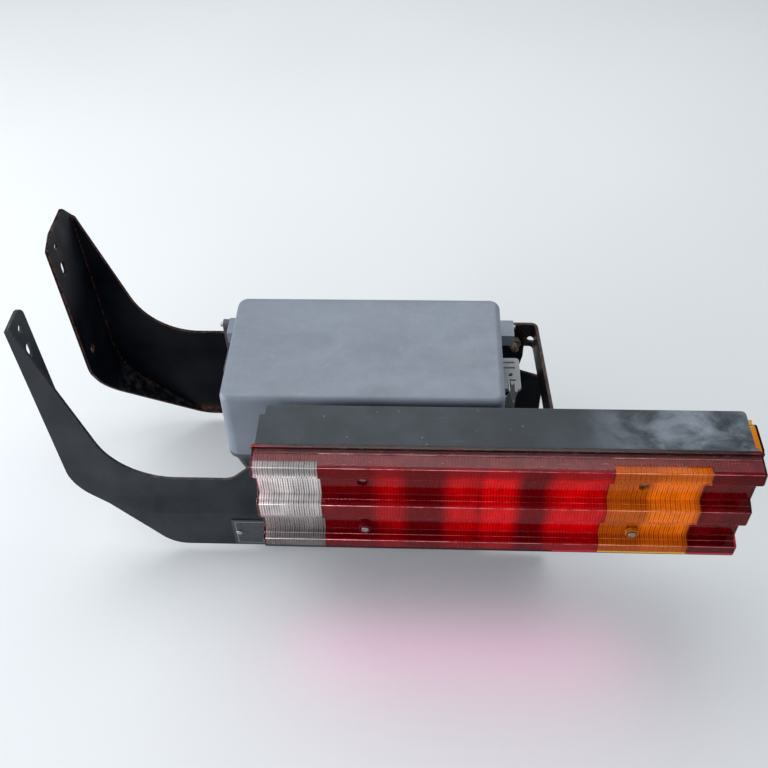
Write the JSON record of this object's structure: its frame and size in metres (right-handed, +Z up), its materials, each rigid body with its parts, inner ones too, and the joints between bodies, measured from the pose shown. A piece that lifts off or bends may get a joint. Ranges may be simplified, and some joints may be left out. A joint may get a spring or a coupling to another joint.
{
  "type": "truck tail light with bracket",
  "caption": "Rear combination lamp with ridged multi-colour lens on a two-arm pressed steel bracket, with a hinged-lid junction box between the plates.",
  "frame": {"origin": "bottom centre of the whole assembly's box, on the surface under the junction box", "axes": "+X along the lamp away from the chassis rail, +Y forward into the vehicle (the lens faces -Y), +Z up"},
  "size_m": [0.825, 0.348, 0.403],
  "materials": {
    "black_paint": "satin black stoved paint over pressed steel, rust at edges",
    "rusty_steel": "surface rusted",
    "black_film": "blank film",
    "zinc_steel": "zinc plated",
    "clear_acrylic": "clear fluted",
    "red_acrylic": "transparent red",
    "amber_acrylic": "transparent amber",
    "dark_red_acrylic": "transparent dark red",
    "black_rubber": "matt",
    "black_plastic": "moulded",
    "dark_grey_plastic": "scuffed, weathered",
    "light_grey_plastic": "satin moulded",
    "metallised_plastic": "vacuum metallised",
    "brass": "nickel-brass",
    "bulb_glass": "clear"
  },
  "bodies": {
    "base": {"front_bracket_plate": "black_paint", "rear_bracket_plate": "black_paint", "end_strap": "black_paint", "cross_tube_left": "black_paint", "cross_tube_right": "black_paint", "end_strap_bolts": "rusty_steel", "end_strap_nuts": "rusty_steel", "blank_plate": "black_film", "blank_plate_rivets": "zinc_steel", "lens_clear": "clear_acrylic", "lens_red": "red_acrylic", "lens_amber": "amber_acrylic", "lens_fog": "dark_red_acrylic", "lens_gasket": "black_rubber", "lens_screws": "zinc_steel", "lens_screw_collars": "black_plastic", "lamp_housing": "dark_grey_plastic", "reflector_panel": "metallised_plastic", "bulb_holders": "black_plastic", "bulb_caps": "brass", "bulb_glasses": "bulb_glass", "side_marker_base": "dark_grey_plastic", "side_marker_lens": "amber_acrylic", "lamp_connector": "black_plastic", "connector_pins": "brass", "lamp_bolts": "zinc_steel", "rubber_spacers": "black_rubber", "lamp_washers": "zinc_steel", "lamp_nuts": "zinc_steel", "box_base": "dark_grey_plastic", "hinge_brackets": "dark_grey_plastic", "hinge_pin": "zinc_steel", "latch_bracket": "light_grey_plastic", "latch_pin": "zinc_steel", "slotted_side_flange": "light_grey_plastic", "side_screws": "zinc_steel", "terminal_rail": "zinc_steel", "terminal_blocks": "light_grey_plastic", "terminal_screws": "brass", "cable_glands": "black_plastic", "gland_nuts": "black_plastic", "box_spacers": "black_plastic", "box_bolts": "zinc_steel", "box_nuts": "zinc_steel"},
    "lid": {"box_lid": "light_grey_plastic", "lid_gasket": "black_rubber", "lid_catch": "light_grey_plastic"},
    "latch_lever": {"latch_lever": "light_grey_plastic"},
    "latch_bail": {"latch_bail": "zinc_steel"}
  },
  "joints": [
    {"name": "lid_hinge", "type": "hinge", "parent": "base", "child": "lid", "pos_m": [-0.036, 0.13, 0.222], "axis": [-1, 0, 0], "range_deg": [0, 105]},
    {"name": "latch_lever_hinge", "type": "hinge", "parent": "base", "child": "latch_lever", "pos_m": [0.1545, 0.038, 0.166], "axis": [0, 1, 0], "range_deg": [0, 50]},
    {"name": "latch_bail_hinge", "type": "hinge", "parent": "latch_lever", "child": "latch_bail", "pos_m": [0.157, 0.038, 0.186], "axis": [0, 1, 0], "range_deg": [0, 40]}
  ]
}
